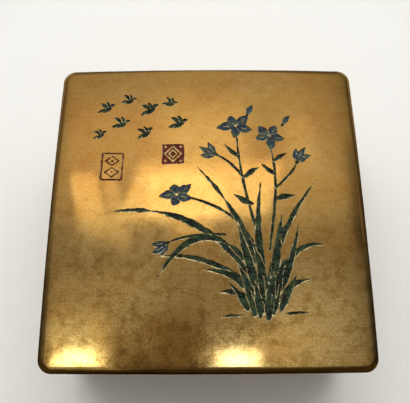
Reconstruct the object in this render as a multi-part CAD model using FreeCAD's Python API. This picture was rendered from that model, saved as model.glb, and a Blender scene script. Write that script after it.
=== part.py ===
# Square brass ink box for brush writing, with a lift-off lid.
#
# The lid is a shallow raised pan soldered to a straight side band. An inkstone slab for
# pointing the brush is bedded under its top, held by a burnished copper bezel. The body is a
# second band on a flat plate. A thinner collar inside it stands proud and guides the lid, and a
# red copper liner hangs on the collar by its flange and holds the ink-soaked silk wadding.
#
# Frame: millimetres, +Z up, origin at the bottom centre, +Y to the back.
import FreeCAD, Part
import math
import os

from FreeCAD import Vector

# ---- plan of the box
side = 86.0              # outer width of the box across the middle of its sides
corner_radius = 3.6      # vertical corners of the outer faces
side_bow = 0.25          # how far each side bulges past a straight edge

# ---- heights
base_height = 19.0       # bottom face to the shoulder that the lid sits on
lid_height = 17.0        # shoulder to the crown of the lid
collar_rise = 5.0        # collar above the shoulder
collar_depth = 7.0       # collar soldered below the shoulder

# ---- sheet and plate
band_wall = 1.6          # side band of the body
plate_thickness = 1.6    # bottom plate
top_thickness = 1.8      # raised top of the lid
collar_wall = 1.0
liner_wall = 0.8
flange_thickness = 0.6

# ---- form of the lid and the edges
dome_radius = 1300.0     # the top is a very flat part of a sphere
rim_roll = 3.3           # the top rolls over at its rim with this radius
rim_roll_angle = 35.0    # down to this slope, in degrees
rim_edge_round = 0.45    # and then turns sharply into the upright side
ceiling_round = 1.0      # inside, where the ceiling meets the pan's wall
seam_below_round = 0.6   # solder seam of pan and band, below the inside rounding at the corners
foot_round = 1.2         # outer edge of the bottom plate
shoulder_break = 0.25    # filed edge on both sides of the lid's joint line
collar_lead = 0.4        # bevel on the collar's top outer edge

# ---- fits and gaps
lid_fit_gap = 0.15       # lid band around the collar
liner_gap = 0.2          # liner inside the collar
flange_setback = 0.3     # flange inside the collar's outer face
liner_floor_gap = 0.4    # liner hangs clear of the bottom plate
wadding_gap = 0.4        # soft wadding clear of the liner

# ---- liner and wadding
liner_corner = 3.0       # vertical corners of the liner, outside
liner_floor_round = 2.4  # outside rounding where the liner's walls meet its floor
wadding_depth = 15.0     # thickness at the crown
wadding_top_round = 3.0
wadding_floor_round = 1.5
wadding_dome_radius = 520.0

# ---- inkstone slab, its bezel and bedding
slab_side = 60.0
slab_corner = 2.5
slab_thickness = 3.2
slab_bevel = 1.0         # chamfer round the working face
bezel_gap = 0.05         # bezel clear of the slab's edge
bezel_wall = 1.2
bezel_setback = 0.3      # the slab's working face stands proud of the bezel by this
bedding_minimum = 0.6    # cement between slab and lid where the dome is lowest

# ---- worked out from the above
half = side / 2
bow_radius = (half ** 2 + side_bow ** 2) / (2 * side_bow)
lid_wall = band_wall - lid_fit_gap
crown_z = base_height + lid_height
collar_inset = band_wall + collar_wall
collar_top_z = base_height + collar_rise
flange_top_z = collar_top_z + flange_thickness
liner_inset = collar_inset + liner_gap
liner_bottom_z = plate_thickness + liner_floor_gap
liner_floor_z = liner_bottom_z + liner_wall


def square_outline(half_width, corner, z, bow=None):
    """A closed wire: a square with round corners, and with sides that are arcs of radius bow."""
    if bow is None:
        centre = half_width - corner
        tangent = Vector(half_width, centre, 0)
    else:
        reach = bow - half_width
        span = bow - corner
        centre = (math.sqrt(2 * span ** 2 - reach ** 2) - reach) / 2
        tangent = Vector((centre + reach) / span * bow - reach, centre / span * bow, 0)
    corner_middle = Vector(centre, centre, 0) + Vector(1, 1, 0).normalize() * corner
    turned_tangent = Vector(tangent.y, tangent.x, 0)
    lift = Vector(0, 0, z)
    edges = []
    for quarter in range(4):
        turn = FreeCAD.Rotation(Vector(0, 0, 1), 90 * quarter)
        start = turn.multVec(Vector(tangent.x, -tangent.y, 0)) + lift
        end = turn.multVec(tangent) + lift
        after = turn.multVec(turned_tangent) + lift
        if bow is None:
            edges.append(Part.LineSegment(start, end).toShape())
        else:
            middle = turn.multVec(Vector(half_width, 0, 0)) + lift
            edges.append(Part.Arc(start, middle, end).toShape())
        edges.append(Part.Arc(end, turn.multVec(corner_middle) + lift, after).toShape())
    return Part.Wire(edges)


def outline(inset, z, corner=None):
    """The box's outer outline moved inwards by inset, so that every wall keeps its thickness."""
    corner = corner_radius - inset if corner is None else corner
    return square_outline(half - inset, corner, z, bow_radius - inset)


def prism(wire, height):
    return Part.Face(wire).extrude(Vector(0, 0, height))


def block(inset, z_low, z_high, corner=None):
    return prism(outline(inset, z_low, corner), z_high - z_low)


def ring(outer_inset, inner_inset, z_low, z_high):
    return block(outer_inset, z_low, z_high).cut(block(inner_inset, z_low, z_high))


def edges_at(shape, z, outer_inset=None):
    """The level edges of shape at height z, all of them or only those of the outline at one inset."""
    level = [e for e in shape.Edges if all(abs(v.Z - z) < 1e-6 for v in e.Vertexes)
             and abs(e.CenterOfMass.z - z) < 1e-6]
    if outer_inset is None:
        return level
    target = outline(outer_inset, z)
    return [e for e in level if target.distToShape(Part.Vertex(e.valueAt(
        (e.FirstParameter + e.LastParameter) / 2)))[0] < 1e-4]


def ball(radius, top_z):
    """A sphere with its highest point at top_z. Its poles lie on the X axis, clear of the crown."""
    centre = Vector(0, 0, top_z - radius)
    whole = Part.makeSphere(radius)
    whole.Placement = FreeCAD.Placement(centre, FreeCAD.Rotation(Vector(0, 1, 0), 90))
    return whole


def drop(radius, distance):
    """How far a sphere of this radius falls at this distance from its crown."""
    return radius - math.sqrt(radius ** 2 - distance ** 2)


def domed_block(base_wire, z_low, radius, top_z):
    """A prism under a part of a sphere."""
    tall = prism(base_wire, top_z + 1 - z_low)
    return tall.common(ball(radius, top_z))


def rim_edges(shape, radius, top_z):
    """The edges where the spherical top meets the upright sides."""
    centre = Vector(0, 0, top_z - radius)
    return [e for e in shape.Edges
            if abs((e.valueAt((e.FirstParameter + e.LastParameter) / 2) - centre).Length - radius) < 1e-4]


def pan(inset, z_low, radius, top_z, rounding):
    """A domed block with its rim rounded."""
    form = domed_block(outline(inset, z_low), z_low, radius, top_z)
    return form.makeFillet(rounding, rim_edges(form, radius, top_z))


# ---- lid
ceiling_radius = dome_radius - top_thickness
ceiling_z = crown_z - top_thickness
ceiling_reach = (half - corner_radius) * math.sqrt(2) + corner_radius - lid_wall
seam_z = ceiling_z - drop(ceiling_radius, ceiling_reach) - ceiling_round - seam_below_round
rim_overhang = (rim_roll - rim_edge_round) * (1 - math.sin(math.radians(rim_roll_angle)))


def rim_crease(shape, z_low):
    """The edges where the rolled rim meets the upright sides."""
    found = []
    for edge in shape.Edges:
        middle = edge.valueAt((edge.FirstParameter + edge.LastParameter) / 2)
        run = edge.Vertexes[-1].Point - edge.Vertexes[0].Point
        upright = math.hypot(run.x, run.y) < 1e-4
        on_side = outline(0, middle.z).distToShape(Part.Vertex(middle))[0] < 1e-4
        if on_side and not upright and middle.z > z_low + 1e-3:
            found.append(edge)
    return found


def rolled_pan():
    """The outer form of the lid's top: a wider pan with a rolled rim, trimmed by the upright sides."""
    wide = pan(-rim_overhang, seam_z, dome_radius, crown_z, rim_roll)
    trimmed = wide.common(block(0, seam_z, crown_z + 1))
    return trimmed.makeFillet(rim_edge_round, rim_crease(trimmed, seam_z))


def lid_top():
    """The raised pan: a domed sheet with a rolled rim and a short turned-down edge."""
    inner = pan(lid_wall, seam_z, ceiling_radius, ceiling_z, ceiling_round)
    return rolled_pan().cut(inner)


def lid_side_band():
    """The straight band below the pan, which slides over the collar."""
    band = ring(0, lid_wall, base_height, seam_z)
    return band.makeChamfer(shoulder_break, edges_at(band, base_height, 0))


slab_half = slab_side / 2
slab_reach = (slab_half - slab_corner) * math.sqrt(2) + slab_corner
slab_top_z = ceiling_z - drop(ceiling_radius, slab_reach) - bedding_minimum
slab_low_z = slab_top_z - slab_thickness
bezel_low_z = slab_low_z + bezel_setback
seat_half = slab_half + bezel_gap
seat_corner = slab_corner + bezel_gap


def ink_slab():
    """The inkstone, with its bevelled working face downwards."""
    slab = prism(square_outline(slab_half, slab_corner, slab_low_z), slab_thickness)
    return slab.makeChamfer(slab_bevel, edges_at(slab, slab_low_z))


def bezel_cavity():
    """The room inside the bezel: upright above, and narrowed below to follow the slab's bevel."""
    shoulder_z = slab_low_z + slab_bevel
    upright = domed_block(square_outline(seat_half, seat_corner, shoulder_z), shoulder_z,
                          ceiling_radius, ceiling_z)
    lean = shoulder_z - bezel_low_z
    narrow = Part.makeLoft([square_outline(seat_half - lean, seat_corner - lean, bezel_low_z),
                            square_outline(seat_half, seat_corner, shoulder_z)], True, True)
    return upright.fuse(narrow).removeSplitter()


def slab_bezel():
    """A copper strip soldered to the ceiling, its lower edge burnished over the slab's bevel."""
    outer = domed_block(square_outline(seat_half + bezel_wall, seat_corner + bezel_wall, bezel_low_z),
                        bezel_low_z, ceiling_radius, ceiling_z)
    return outer.cut(bezel_cavity())


def slab_bedding():
    """The cement that fills the room between the flat slab and the domed ceiling."""
    return domed_block(square_outline(seat_half, seat_corner, slab_top_z), slab_top_z,
                       ceiling_radius, ceiling_z)


# ---- body
def base_plate():
    plate = block(0, 0, plate_thickness)
    return plate.makeFillet(foot_round, edges_at(plate, 0))


def base_side_band():
    band = ring(0, band_wall, plate_thickness, base_height)
    return band.makeChamfer(shoulder_break, edges_at(band, base_height, 0))


def rim_collar():
    """The inner strip that stands proud of the shoulder and guides the lid."""
    collar = ring(band_wall, collar_inset, base_height - collar_depth, collar_top_z)
    return collar.makeChamfer(collar_lead, edges_at(collar, collar_top_z, band_wall))


def liner_form(inset, corner, z_low, z_high, floor_round):
    """The outside or the inside of the liner's tray."""
    form = block(inset, z_low, z_high, corner)
    return form.makeFillet(floor_round, edges_at(form, z_low))


def well_liner():
    """The red copper tray, hung by a flange on the collar's top edge."""
    tray = liner_form(liner_inset, liner_corner, liner_bottom_z, flange_top_z, liner_floor_round)
    flange_inset = band_wall + flange_setback
    flange = block(flange_inset, collar_top_z, flange_top_z)
    hollow = liner_form(liner_inset + liner_wall, liner_corner - liner_wall, liner_floor_z,
                        flange_top_z, liner_floor_round - liner_wall)
    return tray.fuse(flange).cut(hollow).removeSplitter()


def ink_wadding():
    """Silk floss that holds the ink: a soft pad with rounded edges and a crowned top."""
    inset = liner_inset + liner_wall + wadding_gap
    corner = liner_corner - liner_wall - wadding_gap + wadding_top_round
    low_z = liner_floor_z + wadding_gap
    top_z = low_z + wadding_depth
    pad = domed_block(outline(inset, low_z, corner), low_z, wadding_dome_radius, top_z)
    pad = pad.makeFillet(wadding_top_round, rim_edges(pad, wadding_dome_radius, top_z))
    return pad.makeFillet(wadding_floor_round, edges_at(pad, low_z))


PARTS = {
    "lid_top": lid_top,
    "lid_side_band": lid_side_band,
    "slab_bezel": slab_bezel,
    "slab_bedding": slab_bedding,
    "ink_slab": ink_slab,
    "base_plate": base_plate,
    "base_side_band": base_side_band,
    "rim_collar": rim_collar,
    "well_liner": well_liner,
    "ink_wadding": ink_wadding,
}

os.makedirs("parts", exist_ok=True)
for name, make in PARTS.items():
    shape = make()
    shape.exportStep(f"parts/{name}.step")
    print(name, len(shape.Solids), round(shape.Volume, 1), shape.isValid(),
          [round(v, 2) for v in (shape.BoundBox.ZMin, shape.BoundBox.ZMax)])
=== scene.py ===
import bmesh
import bpy
import math
import numpy as np
from mathutils import Euler, Matrix, Vector, noise
from mathutils.geometry import delaunay_2d_cdt


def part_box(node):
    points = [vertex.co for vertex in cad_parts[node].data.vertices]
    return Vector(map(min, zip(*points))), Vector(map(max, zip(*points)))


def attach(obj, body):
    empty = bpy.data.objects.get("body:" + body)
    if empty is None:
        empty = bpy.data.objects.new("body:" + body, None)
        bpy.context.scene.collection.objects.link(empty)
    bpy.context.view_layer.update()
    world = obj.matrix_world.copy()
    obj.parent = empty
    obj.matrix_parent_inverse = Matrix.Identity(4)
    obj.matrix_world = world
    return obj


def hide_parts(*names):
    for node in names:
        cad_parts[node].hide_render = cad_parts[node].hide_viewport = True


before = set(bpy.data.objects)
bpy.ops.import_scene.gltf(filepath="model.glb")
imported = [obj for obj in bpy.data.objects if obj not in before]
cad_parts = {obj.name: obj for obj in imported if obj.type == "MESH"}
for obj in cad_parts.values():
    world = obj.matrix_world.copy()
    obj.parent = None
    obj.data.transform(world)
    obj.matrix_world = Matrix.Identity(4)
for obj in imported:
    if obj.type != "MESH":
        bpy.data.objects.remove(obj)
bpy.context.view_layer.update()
mm = 0.001
scene = bpy.context.scene
scene.view_settings.view_transform = "Standard"


def linear(hexColour):  # sRGB hex to the linear colour that shaders use
    parts = [int(hexColour[i:i + 2], 16) / 255 for i in (1, 3, 5)]
    return [c / 12.92 if c <= 0.04045 else ((c + 0.055) / 1.055) ** 2.4 for c in parts] + [1.0]


def addNode(tree, kind, inputs=None, **settings):  # a node or socket is linked, any other value is set
    node = tree.nodes.new("ShaderNode" + kind)
    if kind == "Mix":  # always of two colours: 0 is the share, 6 and 7 are the colours
        node.data_type = "RGBA"
    for name, value in settings.items():
        setattr(node, name, value)
    for key, value in (inputs or {}).items():
        if isinstance(value, bpy.types.Node):
            value = next(socket for socket in value.outputs if socket.enabled)
        if isinstance(value, bpy.types.NodeSocket):
            tree.links.new(value, node.inputs[key])
        else:
            node.inputs[key].default_value = linear(value) if isinstance(value, str) else value
    return node


def newMaterial(name):  # with the place on the piece that its patterns are laid out by
    material = bpy.data.materials.new(name)
    material.use_nodes = True
    tree = material.node_tree
    tree.nodes.clear()
    return material, tree, addNode(tree, "TexCoord").outputs["Object"]


# Uneven patterns of real sizes: mm, or mm for each way, detail, roughness and swirl of the noise, and
# the levels of it that count as none and as all.
def addPatterns(tree, place, patterns):
    noises, shares = {}, {}
    for name, (size, detail, roughness, swirl, *levels) in patterns.items():
        sizes = size if isinstance(size, tuple) else (size, size, size)
        scaled = addNode(tree, "VectorMath", {0: place, 1: [1 / (way * mm) for way in sizes]},
                         operation="MULTIPLY")
        noises[name] = addNode(tree, "TexNoise", {"Vector": scaled, "Scale": 1.0, "Detail": detail,
                                                  "Roughness": roughness, "Distortion": swirl})
        if levels:
            shares[name] = addNode(tree, "MapRange", {"Value": noises[name], "From Min": levels[0],
                                                      "From Max": levels[1]})
    return noises, shares


def addSurface(material, inputs):
    tree = material.node_tree
    addNode(tree, "OutputMaterial", {"Surface": addNode(tree, "BsdfPrincipled", inputs)})
    return material


def addMesh(name, points, faces, materials, indices=None, sharpAngle=20.0):
    mesh = bpy.data.meshes.new(name)
    mesh.from_pydata([tuple(p) for p in points], [], faces)
    for material in materials:
        mesh.materials.append(material)
    if indices is not None:
        mesh.polygons.foreach_set("material_index", indices)
    mesh.shade_smooth()
    mesh.set_sharp_from_angle(angle=math.radians(sharpAngle))
    if indices is not None:  # and along every line where the finish changes
        shape = bmesh.new()
        shape.from_mesh(mesh)
        for edge in shape.edges:
            if len({face.material_index for face in edge.link_faces}) > 1:
                edge.smooth = False
        shape.to_mesh(mesh)
        shape.free()
    piece = bpy.data.objects.new(name, mesh)
    scene.collection.objects.link(piece)
    return piece


# the lid's outer form, in mm
lidForm = {
    "cornerRadius": 3.6,  # vertical corners
    "sideBow": 0.25,      # each side bulges by this
    "domeRadius": 1300.0,
    "rimRoll": 3.3,       # the top rolls over with this radius
    "rollAngle": 35.0,    # as far as this slope
    "edgeRound": 0.12,    # and then turns down sharply
    "topSheet": 1.8,      # thickness of the top
    "bandWall": 1.45,     # thickness of the turned-down edge
    "ceilingRound": 1.0,
    "ceilingAngle": 89.0,
    "ceilingSteps": 4,
    "ceilingShares": (0.85, 0.65, 0.4, 0.15),  # of the way out, for the rings on the flat ceiling
    "wornDepth": 0.13,    # years of polishing have lowered the top towards its rim
    "wornWidth": 7.0,
    "sideSteps": 40,
    "cornerSteps": 12,
    "rollSteps": 8,
    "plateStep": 1.6,     # spacing of the plain plate's points
}
lidLow, lidHigh = (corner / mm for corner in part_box("lid_top"))
half = (lidHigh.x - lidLow.x) / 2
bowRadius = (half ** 2 + lidForm["sideBow"] ** 2) / (2 * lidForm["sideBow"])
bowReach = bowRadius - half
cornerSpan = bowRadius - lidForm["cornerRadius"]
cornerCentre = (math.sqrt(2 * cornerSpan ** 2 - bowReach ** 2) - bowReach) / 2


def heading(angle):
    return np.array([math.cos(angle), math.sin(angle)])


def rotation(angle):
    return np.array([[math.cos(angle), math.sin(angle)], [-math.sin(angle), math.cos(angle)]])


def outline():  # points and outward directions round the lid, seen from above
    points, outward = [], []
    bend = math.atan2(cornerCentre, cornerCentre + bowReach)
    for quarter in range(4):
        rotate = rotation(math.pi / 2 * quarter)
        for angle in np.linspace(-bend, bend, lidForm["sideSteps"] + 1):
            way = heading(angle)
            points.append((way * bowRadius - [bowReach, 0]) @ rotate)
            outward.append(way @ rotate)
        for angle in np.linspace(bend, math.pi / 2 - bend, lidForm["cornerSteps"] + 1)[1:-1]:
            way = heading(angle)
            points.append((way * lidForm["cornerRadius"] + cornerCentre) @ rotate)
            outward.append(way @ rotate)
    return np.array(points), np.array(outward)


def insetOf(x, y):  # how far a point lies inside the outline
    ax, ay = np.abs(x), np.abs(y)
    sides = np.minimum(bowRadius - np.hypot(ax + bowReach, ay), bowRadius - np.hypot(ay + bowReach, ax))
    corner = lidForm["cornerRadius"] - np.hypot(ax - cornerCentre, ay - cornerCentre)
    return np.where((ax > cornerCentre) & (ay > cornerCentre), corner, sides)


def worn(x, y):
    return lidForm["wornDepth"] * np.clip(1 - insetOf(x, y) / lidForm["wornWidth"], 0, 1) ** 2


def plateHeight(x, y):  # the polished top
    radius = lidForm["domeRadius"]
    return lidHigh.z - radius + np.sqrt(radius ** 2 - x * x - y * y) - worn(x, y)


def turned(start, end, share):  # a direction part of the way between two
    between = np.arccos(np.clip((start * end).sum(1), -1, 1))[:, None]
    return (np.sin((1 - share) * between) * start + np.sin(share * between) * end) / np.sin(between)


# rings from the seam, round the edge and over the roll up to the dome
def panRings(points, outward, lowZ, topZ, domeRadius, roll, slope, edge, steps):
    flat = np.column_stack([outward, np.zeros(len(outward))])
    slope = math.radians(slope)
    domeCentre = np.array([0, 0, topZ - domeRadius])
    middles = points - outward * (edge + (roll - edge) * math.sin(slope))
    middleZ = domeCentre[2] + np.sqrt((domeRadius - roll) ** 2 - (middles ** 2).sum(1))
    middles = np.column_stack([middles, middleZ])
    steep = (middles - domeCentre) / (domeRadius - roll)
    leaning = flat * math.sin(slope) + np.array([0, 0, math.cos(slope)])
    edgeMiddles = middles + leaning * (roll - edge)
    rings = [np.column_stack([points, np.full(len(points), lowZ)])]
    rings += [edgeMiddles + edge * turned(flat, leaning, share) for share in np.linspace(0, 1, 5)]
    rings += [middles + roll * turned(leaning, steep, share) for share in np.linspace(0, 1, steps + 1)[1:]]
    return rings


# the engraving: a field over the top, in mm, negative where metal is cut away
engraving = {
    "reach": 36.0,       # half the width of the field
    "step": 0.1,
    "wallWidth": (0.06, 0.31),  # wall between the lip and the lacquer: almost upright, and sloping
    "slopingSide": (-0.35, -0.94),  # the graver leaned, so that the walls on this side of a cut slope most
    "wallDepth": 0.15,   # the lacquer lies this far below the lip
    "floorDepth": 0.38,
    "ridge": -0.25,      # the crest between crossing cuts lies this far inside the cut
    "smooth": 0.015,     # the contours may leave the field by this much
    "tremor": ((1.7, 0.07), (0.5, 0.03)),  # length and size of the unevenness of hand-cut lines
    "petal": ((0, 0.16, 0.40, 0.72, 1), (0.40, 0.78, 1.0, 0.56, 0.04)),  # shares of length and half width
    "floorStep": 7,          # field points from one point of a wide floor to the next
    "floorMargin": 0.12,     # its points keep this far from the wall
    "trough": (0.05, 0.95),  # points along a narrow cut: from this depth to this share of the wall's width
    "crest": (0.02, 0.80),   # and points along a crest
    "dip": (0.035, 0.25),    # the lacquer sinks by this much within this width
    "ripple": (0.02, 1.3),   # height of its waves, and how many there are in a mm
}
tones = {"leaf": 1, "blossom": 2, "mark": 3}
axis = np.arange(-engraving["reach"], engraving["reach"] + engraving["step"] / 2, engraving["step"])
field = np.full((len(axis), len(axis)), 9.0)
toneAt = np.zeros(field.shape, np.int8)


def smoothed(values, length):
    frequency = np.fft.fftfreq(len(axis), engraving["step"])
    squared = frequency[:, None] ** 2 + frequency[None, :] ** 2
    return np.fft.ifft2(np.fft.fft2(values) * np.exp(-squared * (math.pi * length / 2) ** 2)).real


def handTremor():
    rng = np.random.default_rng(11)
    total = np.zeros(field.shape)
    for length, size in engraving["tremor"]:
        wave = smoothed(rng.standard_normal(field.shape), length)
        total += wave / wave.std() * size
    return total


tremor = handTremor()


def curve(points, count=40):  # a cubic Bezier curve through its first and last points
    a, b, c, d = (np.array(p, float) for p in points)
    t = np.linspace(0, 1, count)[:, None]
    return a * (1 - t) ** 3 + 3 * b * t * (1 - t) ** 2 + 3 * c * t * t * (1 - t) + d * t ** 3


def strokeDistance(path, radii):  # distance outside a stroke whose half width changes along it
    distance = np.full(field.shape, 9.0)
    margin = 1.0
    for a, b, ra, rb in zip(path[:-1], path[1:], radii[:-1], radii[1:]):
        grow = max(ra, rb) + margin
        low = np.minimum(a, b) - grow
        high = np.maximum(a, b) + grow
        c0, r0 = np.clip(np.floor((low + engraving["reach"]) / engraving["step"]).astype(int), 0, len(axis))
        c1, r1 = np.clip(np.ceil((high + engraving["reach"]) / engraving["step"]).astype(int), 0, len(axis))
        x, y = axis[c0:c1][None, :] - a[0], axis[r0:r1][:, None] - a[1]
        along = b - a
        t = np.clip((x * along[0] + y * along[1]) / max(along @ along, 1e-9), 0, 1)
        part = np.hypot(x - t * along[0], y - t * along[1]) - (ra + t * (rb - ra))
        distance[r0:r1, c0:c1] = np.minimum(distance[r0:r1, c0:c1], part)
    return distance


def lineDistance(start, end, halfWidth):
    return strokeDistance(np.array([start, end]), [halfWidth, halfWidth])


def dotDistance(centre, radius):
    return lineDistance(centre, centre + 0.01, radius)


def boxDistance(centre, size, turn, corner):
    x, y = axis[None, :] - centre[0], axis[:, None] - centre[1]
    u = np.abs(x * math.cos(turn) + y * math.sin(turn)) - size[0] / 2 + corner
    v = np.abs(y * math.cos(turn) - x * math.sin(turn)) - size[1] / 2 + corner
    return np.hypot(np.maximum(u, 0), np.maximum(v, 0)) + np.minimum(np.maximum(u, v), 0) - corner


def cut(distance, tone, steepness=1.0, shake=1.0):  # a later cut lies in front of the earlier ones
    near = distance < 2.0
    deeper = (distance[near] + shake * tremor[near]) * steepness
    field[near] = np.minimum(np.maximum(field[near], engraving["ridge"] - deeper), deeper)
    toneAt[distance < 0.06] = tones[tone]


def leave(distance, under=0.0):  # metal left standing inside a cut, or a fine vein under its lip
    near = distance < 2.0
    field[near] = np.maximum(field[near], -distance[near] - under)


def engraveBlade(points, halfWidth, widest, fold=None):
    path = curve(points, 56)
    t = np.linspace(0, 1, len(path))
    swelling = np.where(t < widest, 0.62 + 0.38 * np.sin(t / widest * math.pi / 2),
                        np.cos(np.clip((t - widest) / (1 - widest), 0, 1) * math.pi / 2) ** 0.8)
    radii = halfWidth * swelling
    if fold:  # the blade turns over and shows its edge
        radii = radii * (1 - 0.7 * np.exp(-((t - fold) / 0.05) ** 2))
    cut(strokeDistance(path, radii), "leaf", 1.0 if halfWidth > 0.5 else 1.5)
    if halfWidth > 1.25:  # a fine vein to one side of the middle
        vein = path[12:28] + np.array([0.25 * halfWidth, 0.0])
        leave(strokeDistance(vein, np.full(len(vein), 0.01)), 0.13)


def engraveStroke(points, halfWidth, tone, profile=(0.6, 1.0, 0.0), steepness=1.5):
    path = curve(points, 24)
    t = np.linspace(0, 1, len(path))
    start, middle, end = profile
    radii = halfWidth * (start * (1 - t) * (1 - t) + middle * 4 * t * (1 - t) * 0.9 + end * t * t)
    cut(strokeDistance(path, radii), tone, steepness, 0.6)


def engravePetal(root, tip, halfWidth, tone="blossom", bend=0.06, vein=True):
    root, tip = np.array(root, float), np.array(tip, float)
    along = tip - root
    side = np.array([-along[1], along[0]]) * bend
    path = curve([root, root + along * 0.33 + side, root + along * 0.7 + side, tip], 20)
    radii = halfWidth * np.interp(np.linspace(0, 1, len(path)), *engraving["petal"])  # with a pointed tip
    cut(strokeDistance(path, radii), tone, 1.25)
    if vein:
        leave(strokeDistance(path[5:12], np.full(7, 0.01)), 0.14)


def engraveBlossom(centre, radius, turn, squash=1.0, lean=0.0):  # an open bellflower
    centre = np.array(centre, float)
    for k in range(5):
        angle = turn + 2 * math.pi * k / 5 + 0.12 * math.sin(5 * k + turn)
        reach = radius * (1 + 0.16 * math.sin(3.1 * k + 5 * turn))
        way = heading(angle) * (1.0, squash) @ rotation(lean)
        engravePetal(centre + way * radius * 0.13, centre + way * reach, radius * 0.30,
                     bend=0.16 * (k % 2) - 0.05, vein=k % 2 == 0)
    leave(dotDistance(centre, radius * 0.05))


def engraveBell(base, length, turn):  # a bellflower from the side
    base = np.array(base, float)
    for spread, share in ((0.62, 0.84), (-0.55, 0.90), (0.05, 1.08)):
        engravePetal(base, base + heading(turn + spread) * length * share, length * 0.24)
    way = heading(turn)
    engraveStroke([base - way * 0.9, base - way * 0.5, base - way * 0.1, base + way * 0.5], 0.50, "leaf",
                  (0.5, 1.0, 0.2))


def engraveBud(base, length, turn):
    base = np.array(base, float)
    way = heading(turn)
    engravePetal(base, base + way * length, length * 0.30, vein=False)
    engraveStroke([base - way * 0.8, base - way * 0.4, base, base + way * 0.35], 0.42, "leaf",
                  (0.5, 1.0, 0.3))


def engraveBird(place, size, turn):  # a small plover in flight
    rotate = size * rotation(turn)
    for points, width in plover:
        engraveStroke([np.array(p) @ rotate + place for p in points], width * size, "leaf")


# blades, the rear ones first: root, two handles and tip, half width, where it is widest, and where it folds
blades = [
    ([(12.0, -22), (4, -16), (-4, -12.5), (-14.5, -14)], 0.80, 0.45),
    ([(13.0, -22), (5, -9), (-8, 3), (-30.5, -2.5)], 0.96, 0.50, 0.72),
    ([(14.5, -22), (7, -8), (-4, -1), (-14.5, -22)], 0.94, 0.62, 0.36),
    ([(15.5, -22), (17, -14), (22, -2), (30.5, 7.5)], 0.88, 0.42),
    ([(14.0, -22), (12.5, -10), (6, 2), (-3.0, 11.5)], 0.84, 0.50, 0.68),
    ([(17.5, -22), (20, -16), (24.5, -9), (31, -11)], 0.88, 0.52),
    ([(15.0, -24), (14, -14), (12.5, -6), (15.0, 8)], 1.06, 0.42),
    ([(18.0, -24), (20, -20), (22.5, -15), (24.5, -5)], 1.06, 0.42),
    ([(12.0, -25), (9, -20), (5, -17), (-1.5, -17.5)], 1.00, 0.40),
    ([(16.5, -25), (17.5, -18), (18, -13), (20.5, -1)], 1.20, 0.40),
    ([(13.0, -25), (12, -20), (10, -13), (8.0, -4)], 1.20, 0.42),
    ([(11.0, -26), (9, -24), (7, -22), (2.0, -23.5)], 0.94, 0.40),
    ([(18.5, -26), (20, -23), (22, -20), (27.0, -20)], 0.92, 0.42),
    ([(14.2, -28), (14.9, -22), (14.2, -16), (11.8, -10)], 1.36, 0.36),
    ([(16.8, -28.4), (17.5, -23), (18.6, -19), (20.2, -14.5)], 1.30, 0.34),
    ([(12.0, -28.6), (11.5, -25), (10.5, -21), (7.8, -15.5)], 1.26, 0.34),
    ([(18.8, -27.6), (19.6, -25), (21, -22.5), (23.4, -18.5)], 1.10, 0.32),
    ([(10.2, -27.4), (9.4, -25.6), (8, -23.6), (5.2, -20.0)], 1.00, 0.30),
    ([(15.4, -29.6), (15.8, -25.5), (16.6, -22), (17.4, -17.5)], 1.30, 0.30),
    ([(13.4, -29.2), (13.2, -26), (12.6, -23.5), (12.2, -20.2)], 1.12, 0.30),
    ([(9.0, -28.8), (7.6, -29.2), (5.8, -28.7), (3.3, -29.5)], 0.40, 0.4),
    ([(19.9, -28.4), (21.4, -28.9), (23.2, -27.8), (26.2, -28.5)], 0.40, 0.4),
]
stems = [
    [(14.5, -14), (13, -4), (9, 6), (8.5, 20)],
    [(16.5, -12), (18, -2), (20, 6), (18, 17)],
    [(12.0, -10), (8, -2), (1, 1), (-6, 2.6)],
    [(10.2, 8.0), (8, 11), (6, 13.4), (2.5, 15.0)],
    [(18.8, 5.0), (22, 8), (24, 10), (25.2, 12.6)],
    [(4.6, -8.0), (-1, -8), (-6, -8), (-10.6, -10.2)],
]
birds = [  # place, length and turn of each
    (-29, 30, 4.0, 0.3), (-22.5, 32.5, 3.4, 0.1), (-16.5, 29.5, 4.2, 0.45), (-24.5, 25.0, 4.0, 0.2),
    (-10.5, 31.5, 3.4, -0.1), (-17.5, 22.0, 3.8, 0.5), (-8.0, 25.0, 4.3, 0.25), (-30.5, 21.5, 3.2, 0.4),
]
plover = [  # body, head, two wings and tail, one bird length across
    ([(-0.50, -0.10), (-0.20, -0.22), (0.15, -0.20), (0.42, 0.08)], 0.18),
    ([(0.30, 0.02), (0.38, 0.12), (0.46, 0.10), (0.66, 0.04)], 0.12),
    ([(-0.05, -0.02), (-0.10, 0.22), (-0.22, 0.40), (-0.46, 0.52)], 0.14),
    ([(0.14, 0.00), (0.18, 0.20), (0.14, 0.38), (0.02, 0.56)], 0.12),
    ([(-0.42, -0.14), (-0.55, -0.12), (-0.66, -0.20), (-0.80, -0.14)], 0.09),
]


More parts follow.
